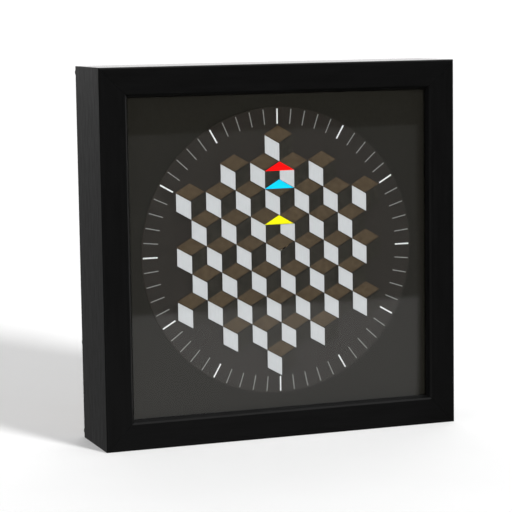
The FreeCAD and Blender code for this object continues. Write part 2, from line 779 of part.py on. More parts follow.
def motor_parts(spots):
    """The stepping motor: a stator strip round the rotor, closed by a core through the coil."""
    depth, thick = LAYERS["rotor"], D.stator_thick
    rotor_x, rotor_z = spots["rotor"]
    low, high, tab = -8.0, 18.0, 3.0
    stator = cut(
        "stator",
        fuse("stator_blank",
             box("stator_strip", rotor_x - 3.5, depth, low, 7.0, thick, high - low),
             box("stator_low_tab", rotor_x, depth, low, 10.5, thick, tab),
             box("stator_high_tab", rotor_x, depth, high - tab, 10.5, thick, tab)),
        hole("stator_hole", (rotor_x, rotor_z), depth - 1, D.stator_hole_radius, 3))
    core_depth = depth + thick
    core = box("coil_core", D.coil_x - D.core_width / 2, core_depth, low, D.core_width, thick,
               high - low)
    tube_wall = (D.tube_width - D.core_width) / 2
    tube_depth, tube_thick = core_depth - tube_wall, thick + tube_wall * 2
    coil_low = (low + high - D.coil_length) / 2
    coil_high = coil_low + D.coil_length
    cheek_depth, cheek_reach = depth - 1.2, 5.2
    left = D.coil_x - D.cheek_width / 2
    bobbin = cut(
        "coil_bobbin",
        fuse("bobbin_blank",
             box("bobbin_tube", D.coil_x - D.tube_width / 2, tube_depth, coil_low, D.tube_width,
                 tube_thick, D.coil_length),
             box("bobbin_low", left, cheek_depth, coil_low - D.cheek_thick, D.cheek_width,
                 cheek_reach, D.cheek_thick),
             box("bobbin_high", left, cheek_depth, coil_high, D.cheek_width, cheek_reach,
                 D.cheek_thick)),
        box("bobbin_slot", D.coil_x - D.core_width / 2, core_depth, low, D.core_width, thick,
            high - low))
    winding_blank = new("Part::Cylinder", "winding_blank")
    bind(winding_blank, "Radius", D.coil_radius)
    bind(winding_blank, "Height", D.coil_length)
    place(winding_blank, D.coil_x, FRONT + core_depth + thick / 2, AXIS_Z + coil_low)
    winding = cut("coil_winding", winding_blank,
                  box("winding_room", D.coil_x - D.tube_width / 2, tube_depth, coil_low - 1,
                      D.tube_width, tube_thick, D.coil_length + 2))
    return [stator, core, bobbin, winding]


def electric_parts():
    """The circuit board and its crystal, the two battery contacts and the cell."""
    board_back = D.circuit_depth + D.circuit_thick
    pcb = fuse("circuit_board",
               box("board_sheet", -25.5, D.circuit_depth, 9.5, 18.0, D.circuit_thick, 15.5),
               rod("board_chip", -18.5, board_back, 18.0, D.chip_radius, D.chip_thick))
    crystal = new("Part::Cylinder", "quartz_crystal")
    bind(crystal, "Radius", D.crystal_radius)
    bind(crystal, "Height", D.crystal_length)
    place(crystal, -11.0, FRONT + board_back + D.crystal_radius, AXIS_Z + 13.0)
    room_front = D.case_depth + D.battery_floor
    low = -D.case_half + D.case_wall
    contacts = []
    for label, x in (("contact_negative", -26.6), ("contact_positive", 26.1)):
        contacts.append(box(label, x, room_front, low + 4.0, D.contact_thick, D.contact_width,
                            D.contact_height))
    reach = D.battery_length / 2
    battery_depth = room_front + D.battery_radius + 0.2
    cell = new("Part::Cylinder", "battery_can")
    nub = new("Part::Cylinder", "battery_nub")
    for piece, x, radius, length in ((cell, -reach - 0.5, D.battery_radius, D.battery_length),
                                     (nub, reach - 0.6, D.cell_nub_radius, 1.2)):
        bind(piece, "Radius", radius)
        bind(piece, "Height", length)
        piece.Placement = FreeCAD.Placement(
            FreeCAD.Vector(), FreeCAD.Rotation(FreeCAD.Vector(0, 1, 0), 90))
        place(piece, x, FRONT + battery_depth, AXIS_Z - D.battery_drop)
    battery = fuse("battery", cell, nub)
    return [pcb, crystal] + contacts + [battery]


# ---- rear fittings ---------------------------------------------------------------------------

def rear_parts():
    half = D.rebate_half - D.fit_gap
    panel = cut(
        "back_panel",
        box("panel_blank", -half, D.panel_depth, -half, half * 2, D.frame_depth - D.panel_depth,
            half * 2),
        box("panel_window", -D.window_half, D.panel_depth - 1, -D.window_half,
            D.window_half * 2, 6, D.window_half * 2))
    made = [panel]
    screws = []
    inwards = {"top": (0, -1), "bottom": (0, 1), "left": (1, 0), "right": (-1, 0)}
    for side, (dx, dz) in inwards.items():
        x, z = rear_screw_spots()["rail_" + side][0]
        made.append(turn_button("turn_button_" + side, x, z, dx, dz))
        screws.append(screw("button_screw_" + side, x, z, D.button_thick))
    made.append(group("turn_button_screws", *screws))
    made.append(hanger("hanger"))
    hanger_spots = rear_screw_spots()["rail_top"][1:]
    made.append(group("hanger_screws", *[
        screw("hanger_screw_%d" % index, x, z, D.hanger_thick)
        for index, (x, z) in enumerate(hanger_spots)]))
    at = HALF - D.bumper_radius - 0.4
    made.append(group("bumper_pads", *[
        rod("bumper_%d" % index, at * sx, D.frame_depth, at * sz, D.bumper_radius,
            D.bumper_height)
        for index, (sx, sz) in enumerate(((-1, 1), (1, 1), (1, -1), (-1, -1)))]))
    return made


def turn_button(label, x, z, dx, dz):
    """A flat steel tongue on a screw. It points inwards over the panel at rest."""
    wide, back = D.button_width, D.frame_depth
    radius = wide / 2
    reach = D.button_length - wide
    if dx:
        low = x if dx > 0 else x - reach
        tongue = box(label + "_bar", low, back, z - radius, reach, D.button_thick, wide)
    else:
        low = z if dz > 0 else z - reach
        tongue = box(label + "_bar", x - radius, back, low, wide, D.button_thick, reach)
    near = rod(label + "_near", x, back, z, radius, D.button_thick)
    far = rod(label + "_far", x + reach * dx, back, z + reach * dz, radius, D.button_thick)
    return cut(label, fuse(label + "_blank", tongue, near, far),
               rod(label + "_hole", x, back - 1, z, D.screw_radius + D.run_gap, 4))


def screw(label, x, z, held):
    """A pan-head wood screw without its thread, its head on a plate of the thickness held."""
    back = D.frame_depth
    head = rod(label + "_head", x, back + held, z, D.screw_head_radius, D.screw_head_height)
    shank = rod(label + "_shank", x, back - PILOT_LENGTH, z, D.screw_radius, held + PILOT_LENGTH)
    return fuse(label, head, shank)


def hanger(label):
    """A sawtooth hanger: a strip with two feet and a raised middle, with teeth on its underside."""
    body = new("PartDesign::Body", label + "_strip")
    half, foot, step = D.hanger_width / 2, 8.0, 2.0
    thick, lift = D.hanger_thick, D.hanger_raise
    inner = half - foot
    top = inner - step
    strip = [(-half, 0), (-inner, 0), (-top, lift), (top, lift), (inner, 0), (half, 0),
             (half, thick), (inner + 0.4, thick), (top + 0.4, lift + thick),
             (-top - 0.4, lift + thick), (-inner - 0.4, thick), (-half, thick)]
    pad(body, label + "_pad", sketch(body, label + "_section", "XY_Plane", [strip]),
        D.hanger_height, two_sided=True)
    low = -D.hanger_height / 2
    count, pitch = 9, 2.4
    teeth = []
    for index in range(count):
        x = (index - (count - 1) / 2) * pitch
        teeth.append([(x - pitch / 2 + 0.1, low - 0.5), (x + pitch / 2 - 0.1, low - 0.5),
                      (x, low + 1.4)])
    pocket(body, label + "_notches", sketch(body, label + "_teeth", "XZ_Plane", teeth), 40)
    place(body, 0, FRONT + D.frame_depth, AXIS_Z + rear_screw_spots()["rail_top"][0][1])
    holes = [rod("%s_hole_%d" % (label, index), x, D.frame_depth - 1, z, D.screw_radius, 4)
             for index, (x, z) in enumerate(rear_screw_spots()["rail_top"][1:])]
    return cut(label, body, *holes)


# ---- build, check, write ---------------------------------------------------------------------

def check(parts):
    doc.recompute()
    for thing in doc.Objects:
        if any(word in ("Invalid", "Error") for word in thing.State):
            raise RuntimeError("%s did not rebuild: %s" % (thing.Label, thing.State))
    for part in parts:
        shape = part.Shape
        if shape.isNull() or not shape.isValid() or not shape.Solids:
            raise RuntimeError(part.Label + " has no valid solid")
        box_now = shape.BoundBox
        print("%-22s %3d solids %10.1f mm3  x %7.1f %7.1f  y %7.1f %7.1f  z %7.1f %7.1f" % (
            part.Label, len(shape.Solids), shape.Volume, box_now.XMin, box_now.XMax, box_now.YMin,
            box_now.YMax, box_now.ZMin, box_now.ZMax))


def write(parts):
    os.makedirs("parts", exist_ok=True)
    for part in parts:
        part.Shape.exportStep("parts/%s.step" % part.Label)


spots = train_spots()
parts = (frame_parts() + dial_parts() + disc_parts() + second_train(spots) + motion_work(spots)
         + case_parts(spots) + [bridge_part(spots)] + motor_parts(spots) + electric_parts()
         + rear_parts())
check(parts)
write(parts)
print(len(parts), "sub-parts")
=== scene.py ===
import math

import bmesh
import bpy
from mathutils import Matrix, Vector


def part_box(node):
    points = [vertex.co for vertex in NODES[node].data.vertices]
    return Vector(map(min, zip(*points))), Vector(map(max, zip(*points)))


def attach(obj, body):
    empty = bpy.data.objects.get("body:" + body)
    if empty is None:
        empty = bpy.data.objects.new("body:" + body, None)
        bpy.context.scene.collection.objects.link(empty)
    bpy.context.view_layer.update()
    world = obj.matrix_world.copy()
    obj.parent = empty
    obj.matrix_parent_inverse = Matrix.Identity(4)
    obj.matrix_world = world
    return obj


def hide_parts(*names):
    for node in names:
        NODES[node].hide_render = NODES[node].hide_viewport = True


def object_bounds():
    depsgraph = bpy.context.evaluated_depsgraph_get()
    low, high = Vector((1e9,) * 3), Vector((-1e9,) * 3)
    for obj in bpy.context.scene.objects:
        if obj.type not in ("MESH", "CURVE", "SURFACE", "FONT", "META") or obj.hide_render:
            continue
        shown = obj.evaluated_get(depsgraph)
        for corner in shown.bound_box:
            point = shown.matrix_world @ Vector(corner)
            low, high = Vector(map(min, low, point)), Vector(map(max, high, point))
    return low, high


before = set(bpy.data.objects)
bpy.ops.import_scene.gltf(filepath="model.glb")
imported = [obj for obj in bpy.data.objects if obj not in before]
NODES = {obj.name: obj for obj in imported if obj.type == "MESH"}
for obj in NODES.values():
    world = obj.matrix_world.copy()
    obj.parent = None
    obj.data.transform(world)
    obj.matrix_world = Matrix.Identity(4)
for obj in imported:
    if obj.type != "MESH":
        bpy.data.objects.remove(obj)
cad_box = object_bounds()

MM = 0.001
LOW, HIGH = cad_box
FRONT_Y = LOW.y
AXIS_Z = (LOW.z + HIGH.z) / 2
HALF = HIGH.x / MM                                      # half the frame's width, in mm
BACK_DEPTH = (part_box("rail_top")[1].y - FRONT_Y) / MM   # how deep the rails are, in mm


# ---- node helpers ------------------------------------------------------------------------------

class Net:
    """A node tree with short calls for the nodes that this file uses."""

    def __init__(self, tree):
        self.tree = tree
        tree.nodes.clear()

    def add(self, kind, **settings):
        """A new node of that kind, with its settings."""
        made = self.tree.nodes.new("ShaderNode" + kind)
        for key, value in settings.items():
            setattr(made, key, value)
        return made

    def feed(self, socket, value):
        """Links a socket to another, or sets it to a plain value."""
        if isinstance(value, bpy.types.NodeSocket):
            self.tree.links.new(value, socket)
        else:
            socket.default_value = value

    def math(self, operation, first, second):
        made = self.add("Math", operation=operation)
        self.feed(made.inputs[0], first)
        self.feed(made.inputs[1], second)
        return made.outputs[0]

    def ramp(self, value, low, high, to_low=0.0, to_high=1.0):
        """value from low..high to to_low..to_high, smoothly and held at both ends."""
        made = self.add("MapRange", interpolation_type="SMOOTHSTEP")
        for socket, number in zip(made.inputs[:5], (value, low, high, to_low, to_high)):
            self.feed(socket, number)
        return made.outputs[0]

    def mix(self, share, first, second):
        """A colour mix."""
        made = self.add("Mix", data_type="RGBA")
        self.feed(made.inputs[0], share)
        self.feed(made.inputs[6], colour(first))
        self.feed(made.inputs[7], colour(second))
        return made.outputs[2]

    def place(self, size, stretch=(1, 1, 1), turn=(0, 0, 0)):
        """Object coordinates in which one unit is size millimetres."""
        scale = 1000.0 / size
        made = self.add("Mapping")
        made.inputs["Scale"].default_value = [scale / s for s in stretch]
        made.inputs["Rotation"].default_value = [math.radians(t) for t in turn]
        self.tree.links.new(self.add("TexCoord").outputs["Object"], made.inputs["Vector"])
        return made.outputs["Vector"]

    def noise(self, size, stretch=(1, 1, 1), detail=3.0):
        """A noise whose lumps are about size millimetres wide, and longer where it's stretched."""
        made = self.add("TexNoise")
        self.feed(made.inputs["Vector"], self.place(size, stretch))
        made.inputs["Scale"].default_value = 1.0
        made.inputs["Detail"].default_value = detail
        made.inputs["Roughness"].default_value = 0.55
        return made.outputs["Fac"]

    def along(self, axis):
        """The place along an axis of the row frame, in metres."""
        split = self.add("SeparateXYZ")
        self.tree.links.new(self.add("TexCoord").outputs["Object"], split.inputs[0])
        return split.outputs[axis]


def colour(value):
    """A socket as it is, or a colour with its alpha."""
    if isinstance(value, bpy.types.NodeSocket):
        return value
    return tuple(value) + (1.0,) if len(value) == 3 else tuple(value)


def tone(level, tint=(1.0, 1.0, 1.0)):
    """A grey of that level, or a tint of it."""
    return tuple(level * t for t in tint)


def surface(name, paint, rough, relief, metal=0.0, specular=0.5, **sockets):
    """A Principled material. paint(net) gives its colour, rough(net) its roughness and relief(net)
    a list of (height socket, millimetres). Other settings go straight to the shader's sockets."""
    made = bpy.data.materials.new(name)
    made.use_nodes = True
    net = Net(made.node_tree)
    shader = net.add("BsdfPrincipled")
    net.feed(shader.inputs["Base Color"], colour(paint(net)))
    net.feed(shader.inputs["Roughness"], rough(net))
    normal = None
    for height, depth in relief(net):
        bump = net.add("Bump")
        bump.inputs["Strength"].default_value = 1.0
        bump.inputs["Distance"].default_value = depth * MM
        net.feed(bump.inputs["Height"], height)
        if normal is not None:
            net.feed(bump.inputs["Normal"], normal)
        normal = bump.outputs["Normal"]
    if normal is not None:
        net.feed(shader.inputs["Normal"], normal)
    shader.inputs["Metallic"].default_value = metal
    shader.inputs["Specular IOR Level"].default_value = specular
    for key, value in sockets.items():
        shader.inputs[key.replace("_", " ")].default_value = value
    output = net.add("OutputMaterial")
    net.tree.links.new(shader.outputs[0], output.inputs["Surface"])
    return made


SHEET_WAVE = 0.02           # height of the slow waves in a clear sheet, in mm
SHEET_WAVELENGTH = 60.0


def clear_sheet(name, tint, share, dust):
    """Thin clear glass or acrylic. It lets light straight through and mirrors a share of it on the
    faces that the light meets from outside. dust is how rough its film of dust makes the mirror."""
    made = bpy.data.materials.new(name)
    made.use_nodes = True
    net = Net(made.node_tree)
    through = net.add("BsdfTransparent")
    through.inputs["Color"].default_value = colour(tint)
    gloss = net.add("BsdfGlossy")
    net.feed(gloss.inputs["Roughness"], net.ramp(net.noise(9.0), 0.35, 0.7, dust * 0.4, dust))
    bump = net.add("Bump")
    bump.inputs["Strength"].default_value = 1.0
    bump.inputs["Distance"].default_value = SHEET_WAVE * MM
    net.feed(bump.inputs["Height"], net.noise(SHEET_WAVELENGTH, detail=1.0))
    net.feed(gloss.inputs["Normal"], bump.outputs["Normal"])
    fresnel = net.add("Fresnel")
    fresnel.inputs["IOR"].default_value = 1.45
    facing = net.math("SUBTRACT", 1.0, net.add("NewGeometry").outputs["Backfacing"])
    amount = net.math("MULTIPLY", net.math("MULTIPLY", fresnel.outputs[0], facing), share)
    mixed = net.add("MixShader")
    net.feed(mixed.inputs[0], amount)
    net.tree.links.new(through.outputs[0], mixed.inputs[1])
    net.tree.links.new(gloss.outputs[0], mixed.inputs[2])
    output = net.add("OutputMaterial")
    net.tree.links.new(mixed.outputs[0], output.inputs["Surface"])
    return made


def two_tone(dark, light, size, stretch=(1, 1, 1), detail=4.0, edge=(0.3, 0.7)):
    """A paint rule for surface(): two tones mixed by a noise of that size in millimetres."""
    def rule(net):
        share = net.ramp(net.noise(size, stretch, detail), *edge)
        return net.mix(share, dark, light)
    return rule


def rough_between(low, high, size, stretch=(1, 1, 1)):
    """A roughness rule: it wanders from low to high by a noise of that size in millimetres."""
    return lambda net: net.ramp(net.noise(size, stretch, 5.0), 0.3, 0.7, low, high)


def striped(dark, light, pitch, tilt=0.0):
    """A paint rule: fine uneven grain lines a pitch apart in millimetres, tilted from upright."""
    lines_share, cloud_share = 0.55, 0.45
    wave_period = math.pi / 10          # of the bands texture, in its own units

    def rule(net):
        wave = net.add("TexWave", wave_type="BANDS", bands_direction="X", wave_profile="SIN")
        net.feed(wave.inputs["Vector"], net.place(pitch / wave_period, turn=(0, tilt, 0)))
        wave.inputs["Scale"].default_value = 1.0
        wave.inputs["Distortion"].default_value = 0.7
        wave.inputs["Detail"].default_value = 2.0
        wave.inputs["Detail Scale"].default_value = 1.4
        lines = net.math("MULTIPLY", wave.outputs["Fac"], lines_share)
        cloud = net.math("MULTIPLY", net.ramp(net.noise(3.0, detail=4.0), 0.3, 0.7), cloud_share)
        return net.mix(net.math("ADD", lines, cloud), dark, light)
    return rule


def relief_of(*layers):
    """A relief rule from layers of (noise size in mm, height in mm, stretch)."""
    def rule(net):
        return [(net.noise(size, stretch, 4.0), height) for size, height, stretch in layers]
    return rule


EVEN = (1, 1, 1)


# ---- materials ---------------------------------------------------------------------------------

BLACK = surface(
    "frame_black",
    two_tone(tone(0.0010), tone(0.0020, (1.0, 1.0, 1.03)), 2.2, (22, 1, 1)),
    rough_between(0.36, 0.50, 1.4, (10, 1, 1)),
    relief_of((0.9, 0.008, (40, 1, 1)), (0.35, 0.003, EVEN)),
    specular=0.13, Coat_Weight=0.85, Coat_Roughness=0.08, Coat_IOR=1.12)
RAW_WOOD = surface(
    "raw_wood",
    two_tone((0.42, 0.27, 0.14), (0.62, 0.45, 0.27), 1.1, (1, 1, 26)),
    rough_between(0.6, 0.8, 1.0, (1, 1, 10)),
    relief_of((0.5, 0.06, (1, 1, 30)),))
GLASS = clear_sheet("glass", (0.985, 0.992, 0.988), 2.0, 0.02)   # one face mirrors for both
ACRYLIC = clear_sheet("clear_acrylic", (0.995, 0.996, 0.997), 0.29, 0.06)
DIAL_PAINT = two_tone((0.0124, 0.0113, 0.0089), (0.0136, 0.0124, 0.0098), 0.9, detail=6.0)
DIAL_ROUGH = rough_between(0.72, 0.88, 2.0)
DIAL_RELIEF = relief_of((0.7, 0.0008, EVEN))
DIAL = surface("dial_sheet", DIAL_PAINT, DIAL_ROUGH, DIAL_RELIEF, specular=0.1)
DIAL_CIRCLE = surface(
    "dial_plate",
    two_tone((0.0203, 0.0168, 0.0138), (0.0221, 0.0183, 0.0150), 0.9, detail=6.0),
    rough_between(0.66, 0.82, 2.0),
    DIAL_RELIEF,
    specular=0.1)
MARK_WHITE = surface(
    "mark_white",
    two_tone(tone(0.78), tone(0.86), 0.6),
    rough_between(0.5, 0.7, 1.0),
    relief_of((0.3, 0.006, EVEN),))
MARK_GREY = surface(
    "mark_grey",
    two_tone((0.205, 0.205, 0.195), (0.255, 0.255, 0.245), 0.6),
    rough_between(0.5, 0.7, 1.0),
    relief_of((0.3, 0.006, EVEN),))
TILE_WHITE = surface(
    "tile_white",
    two_tone((0.448, 0.452, 0.468), (0.478, 0.482, 0.498), 0.8, (1, 1, 7)),
    rough_between(0.5, 0.68, 1.2),
    relief_of((0.45, 0.010, (1, 1, 6)),),
    specular=0.3)
TILE_DARK = surface(
    "tile_dark",
    striped((0.0105, 0.0090, 0.0064), (0.0290, 0.0256, 0.0198), 1.05),
    rough_between(0.55, 0.75, 1.0, (1, 1, 8)),
    relief_of((0.5, 0.012, (1, 1, 14)),),
    specular=0.1)
TILE_BROWN = surface(
    "tile_brown",
    striped((0.043, 0.028, 0.014), (0.092, 0.064, 0.037), 0.95, 60.0),
    rough_between(0.5, 0.7, 1.0, (8, 1, 1)),
    relief_of((0.5, 0.012, EVEN)),
    specular=0.1)
RED = surface(
    "pointer_red",
    two_tone((0.94, 0.0, 0.0), (1.0, 0.002, 0.002), 1.5),
    rough_between(0.35, 0.5, 1.5),
    relief_of((0.6, 0.004, EVEN),),
    specular=0.0)
BLUE = surface(
    "pointer_blue",
    two_tone((0.0, 0.56, 0.93), (0.0, 0.62, 1.0), 1.5),
    rough_between(0.35, 0.5, 1.5),
    relief_of((0.6, 0.004, EVEN),),
    specular=0.0)
YELLOW = surface(
    "pointer_yellow",
    two_tone((0.93, 0.86, 0.0), (1.0, 0.93, 0.002), 1.5),
    rough_between(0.35, 0.5, 1.5),
    relief_of((0.6, 0.004, EVEN),),
    specular=0.0)
BRASS = surface(
    "brass",
    two_tone((0.52, 0.33, 0.11), (0.68, 0.47, 0.19), 1.2, (1, 0.1, 1)),
    rough_between(0.22, 0.42, 0.4, (6, 0.2, 6)),
    relief_of((0.15, 0.003, (10, 1, 10)),),
    metal=1.0)
ZINC = surface(
    "zinc_plate",
    two_tone((0.42, 0.43, 0.44), (0.60, 0.60, 0.59), 5.0, detail=6.0),
    rough_between(0.26, 0.46, 0.7, (1, 1, 9)),
    relief_of((0.25, 0.006, (1, 1, 14)), (2.5, 0.008, EVEN)),
    metal=1.0)
SCREW = surface(
    "screw_steel",
    two_tone((0.36, 0.35, 0.32), (0.56, 0.55, 0.52), 1.0),
    rough_between(0.22, 0.4, 0.8),
    relief_of((0.3, 0.006, EVEN),),
    metal=1.0)
NYLON = surface(
    "moulded_white",
    two_tone((0.60, 0.60, 0.55), (0.68, 0.68, 0.63), 4.0),
    rough_between(0.35, 0.5, 1.0),
    relief_of((0.3, 0.006, EVEN),),
    Subsurface_Weight=0.1)
MAGNET = surface(
    "sintered_magnet",
    two_tone((0.05, 0.05, 0.055), (0.12, 0.12, 0.125), 0.2),
    rough_between(0.4, 0.6, 0.3),
    relief_of((0.1, 0.01, EVEN),),
    metal=0.6)
CASE = surface(
    "moulded_case",
    two_tone(tone(0.014), tone(0.020, (1.0, 1.0, 1.04)), 6.0),
    rough_between(0.42, 0.58, 0.8),
    relief_of((0.28, 0.020, EVEN), (1.1, 0.010, EVEN)),
    specular=0.45)
CASE_LID = surface(
    "moulded_lid",
    two_tone(tone(0.020), tone(0.028, (1.0, 1.0, 1.04)), 6.0),
    rough_between(0.30, 0.44, 0.9),
    relief_of((0.22, 0.014, EVEN), (1.3, 0.008, EVEN)),
    specular=0.5)
KNOB = surface(
    "moulded_knob",
    two_tone(tone(0.024), tone(0.034, (1.0, 1.0, 1.03)), 3.0),
    rough_between(0.34, 0.5, 0.7),
    relief_of((0.25, 0.015, EVEN),),
    specular=0.5)
COPPER = surface(
    "enamelled_wire",
    two_tone((0.36, 0.10, 0.03), (0.58, 0.20, 0.06), 0.12, (30, 30, 1)),
    rough_between(0.22, 0.36, 0.4),
    relief_of((0.1, 0.02, (20, 20, 1)),),
    metal=1.0)
CIRCUIT = surface(
    "solder_mask",
    two_tone((0.010, 0.085, 0.030), (0.018, 0.14, 0.05), 1.6, (4, 1, 1), edge=(0.45, 0.55)),
    rough_between(0.2, 0.35, 1.0),
    relief_of((1.6, 0.02, (4, 1, 1)),))
HARDBOARD = surface(
    "hardboard",
    two_tone((0.130, 0.072, 0.036), (0.235, 0.140, 0.074), 0.55, (3, 1, 1), detail=8.0),
    rough_between(0.55, 0.75, 1.3),
    relief_of((0.35, 0.030, (3, 1, 1)), (14.0, 0.05, EVEN)),
    specular=0.35)
RUBBER = surface(
    "soft_rubber",
    two_tone(tone(0.012), tone(0.020), 1.5),
    rough_between(0.7, 0.9, 0.8),
    relief_of((0.3, 0.015, EVEN),),
    specular=0.25)


def board_material():
    """The dial board: a dark sheet on its front, pressed fibre on its edges and its back."""
    sheet = 0.3                         # how thick the dark sheet is, in mm

    def paint(net):
        behind = net.math("GREATER_THAN", net.along("Y"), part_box("dial_board")[0].y + sheet * MM)
        fibre = two_tone((0.24, 0.155, 0.085), (0.37, 0.255, 0.155), 0.5, detail=8.0)(net)
        return net.mix(behind, DIAL_PAINT(net), fibre)

    return surface("dial_board", paint, DIAL_ROUGH, DIAL_RELIEF, specular=0.1)


DIAL_BOARD = board_material()


def sleeve_material(start, length):
    """A cell's printed sleeve: blue for most of its length, a silver band at its positive end.
    start and length are in metres."""
    band_start, band_full = start + length * 0.735, start + length * 0.74

    def paint(net):
        body = two_tone((0.012, 0.040, 0.130), (0.018, 0.052, 0.160), 3.0)(net)
        end = two_tone((0.46, 0.46, 0.45), (0.56, 0.56, 0.55), 3.0)(net)
        return net.mix(net.ramp(net.along("X"), band_start, band_full), body, end)

    return surface("battery_sleeve", paint, rough_between(0.20, 0.34, 2.0, (4, 1, 1)),
                   relief_of((0.6, 0.006, (6, 1, 1)),), metal=0.35, specular=0.5)


# ---- shapes ------------------------------------------------------------------------------------

def mesh_of(name, points, faces):
    """A clean mesh from points in millimetres."""
    mesh = bpy.data.meshes.new(name)
    mesh.from_pydata([Vector(p) * MM for p in points], [], faces)
    work = bmesh.new()
    work.from_mesh(mesh)
    bmesh.ops.remove_doubles(work, verts=work.verts, dist=1e-7)
    bmesh.ops.recalc_face_normals(work, faces=work.faces)
    work.to_mesh(mesh)
    work.free()
    return mesh


def piece(name, points, faces, material, body, slot, replaces=(), crease=35.0):
    """A piece from points in millimetres in the row frame."""
    return show(name, mesh_of(name, points, faces), material, body, replaces, crease)


def show(name, mesh, material, body, replaces=(), crease=35.0):
    """A mesh as a piece that rides a body, smooth but for edges over crease degrees."""
    mesh.materials.clear()
    mesh.materials.append(material)
    mesh.shade_smooth()
    mesh.set_sharp_from_angle(angle=math.radians(crease))
    made = bpy.data.objects.new(name, mesh)
    bpy.context.scene.collection.objects.link(made)
    even = made.modifiers.new("even_normals", "WEIGHTED_NORMAL")
    even.keep_sharp = True
    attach(made, body)
    if replaces:
        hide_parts(*replaces)
    return made


def rounded(corners, steps=5):
    """A closed outline from (a, b, radius) corners, each corner replaced by an arc."""
    outline = []
    count = len(corners)
    for index, (a, b, radius) in enumerate(corners):
        here = Vector((a, b))
        if radius <= 0:
            outline.append(here)
            continue
        back = (Vector(corners[index - 1][:2]) - here).normalized()
        on = (Vector(corners[(index + 1) % count][:2]) - here).normalized()
        half = math.acos(max(-1.0, min(1.0, back.dot(on)))) / 2
        reach = radius / math.tan(half)
        centre = here + (back + on).normalized() * (radius / math.sin(half))
        start, end = here + back * reach - centre, here + on * reach - centre
        turn = start.angle_signed(end) * -1
        for step in range(steps + 1):
            angle = turn * step / steps
            outline.append(centre + Vector((
                start.x * math.cos(angle) - start.y * math.sin(angle),
                start.x * math.sin(angle) + start.y * math.cos(angle))))
    return outline


def shrunk(outline, amount):
    """The outline moved inwards by amount. It turns the way that has its inside on the left."""
    inside = []
    count = len(outline)
    for index, here in enumerate(outline):
        before, after = outline[index - 1], outline[(index + 1) % count]
        first, second = (here - before).normalized(), (after - here).normalized()
        normal = Vector((-first.y - second.y, first.x + second.x)).normalized()
        spread = max(0.5, normal.dot(Vector((-first.y, first.x))))
        inside.append(here + normal * (amount / spread))
    return inside


def area_of(outline):
    """The area inside an outline, below zero if it turns clockwise."""
    pairs = zip(outline, outline[1:] + outline[:1])
    return sum(a.x * b.y - b.x * a.y for a, b in pairs) / 2


def lathe(profile, steps=48):
    """Points and faces of a shape turned about Y, from (radius, depth) pairs in millimetres."""
    points, faces = [], []
    rings = []
    for radius, depth in profile:
        if radius < 1e-6:
            rings.append([len(points)])
            points.append((0.0, depth, 0.0))
            continue
        rings.append(list(range(len(points), len(points) + steps)))
        for step in range(steps):
            angle = 2 * math.pi * step / steps
            points.append((radius * math.cos(angle), depth, radius * math.sin(angle)))
    for near, far in zip(rings, rings[1:]):
        for step in range(steps):
            ring = [near[step % len(near)], near[(step + 1) % len(near)],
                    far[(step + 1) % len(far)], far[step % len(far)]]
            faces.append(list(dict.fromkeys(ring)))
    return points, [f for f in faces if len(f) > 2]


def moved(points, offset, turn=None):
    """The points turned and then shifted."""
    shift = Vector(offset)
    return [(turn @ Vector(p) if turn else Vector(p)) + shift for p in points]


def joined(*shapes):
    """Several (points, faces) shapes as one."""
    points, faces = [], []
    for more_points, more_faces in shapes:
        faces += [[i + len(points) for i in face] for face in more_faces]
        points += list(more_points)
    return points, faces


def box_mm(node):
    """A node's lowest and highest corners, in millimetres."""
    return tuple(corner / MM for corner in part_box(node))


def middle(node):
    """The middle of a node's box, in millimetres."""
    low, high = box_mm(node)
    return (low + high) / 2


def quarter_round(inner, reach, base, height, steps, power=1.0):
    """(radius, depth) pairs of a rounded edge, from (inner + reach, base) to (inner, base + height).
    A power under 1 makes it flatter on top."""
    angles = [math.radians(90) * step / steps for step in range(steps + 1)]
    return [(inner + reach * math.cos(a) ** power, base + height * math.sin(a)) for a in angles]


def place_on(angle, radius):
    """The point of a circle at an angle in radians."""
    return radius * math.cos(angle), radius * math.sin(angle)


# ---- frame rails -------------------------------------------------------------------------------

# A rail's section as (distance from the clock's middle, depth behind the front), in millimetres.
LIP, FLAT, CAVITY, REBATE = 105.0, 107.6, 113.0, 116.5
LIP_DEPTH, PANEL_DEPTH = 4.2, 53.0
SLOPE_DEPTH = 0.95                      # the lip's inner edge slopes in by this much
SECTION = rounded([
    (HALF, 0.0, 1.3), (HALF, BACK_DEPTH, 0.9), (REBATE, BACK_DEPTH, 0.25),
    (REBATE, PANEL_DEPTH, 0.0), (CAVITY, PANEL_DEPTH, 0.25), (CAVITY, LIP_DEPTH, 0.0),
    (LIP, LIP_DEPTH, 0.22), (FLAT - SLOPE_DEPTH, SLOPE_DEPTH, 0.5), (FLAT + 0.15, 0.0, 0.5)])
if area_of(SECTION) < 0:
    SECTION.reverse()
GROOVE = 0.13                           # how far a mitre's edge slopes in
MITRE_GAP = 0.004                       # between a rail's end and the mitre's plane


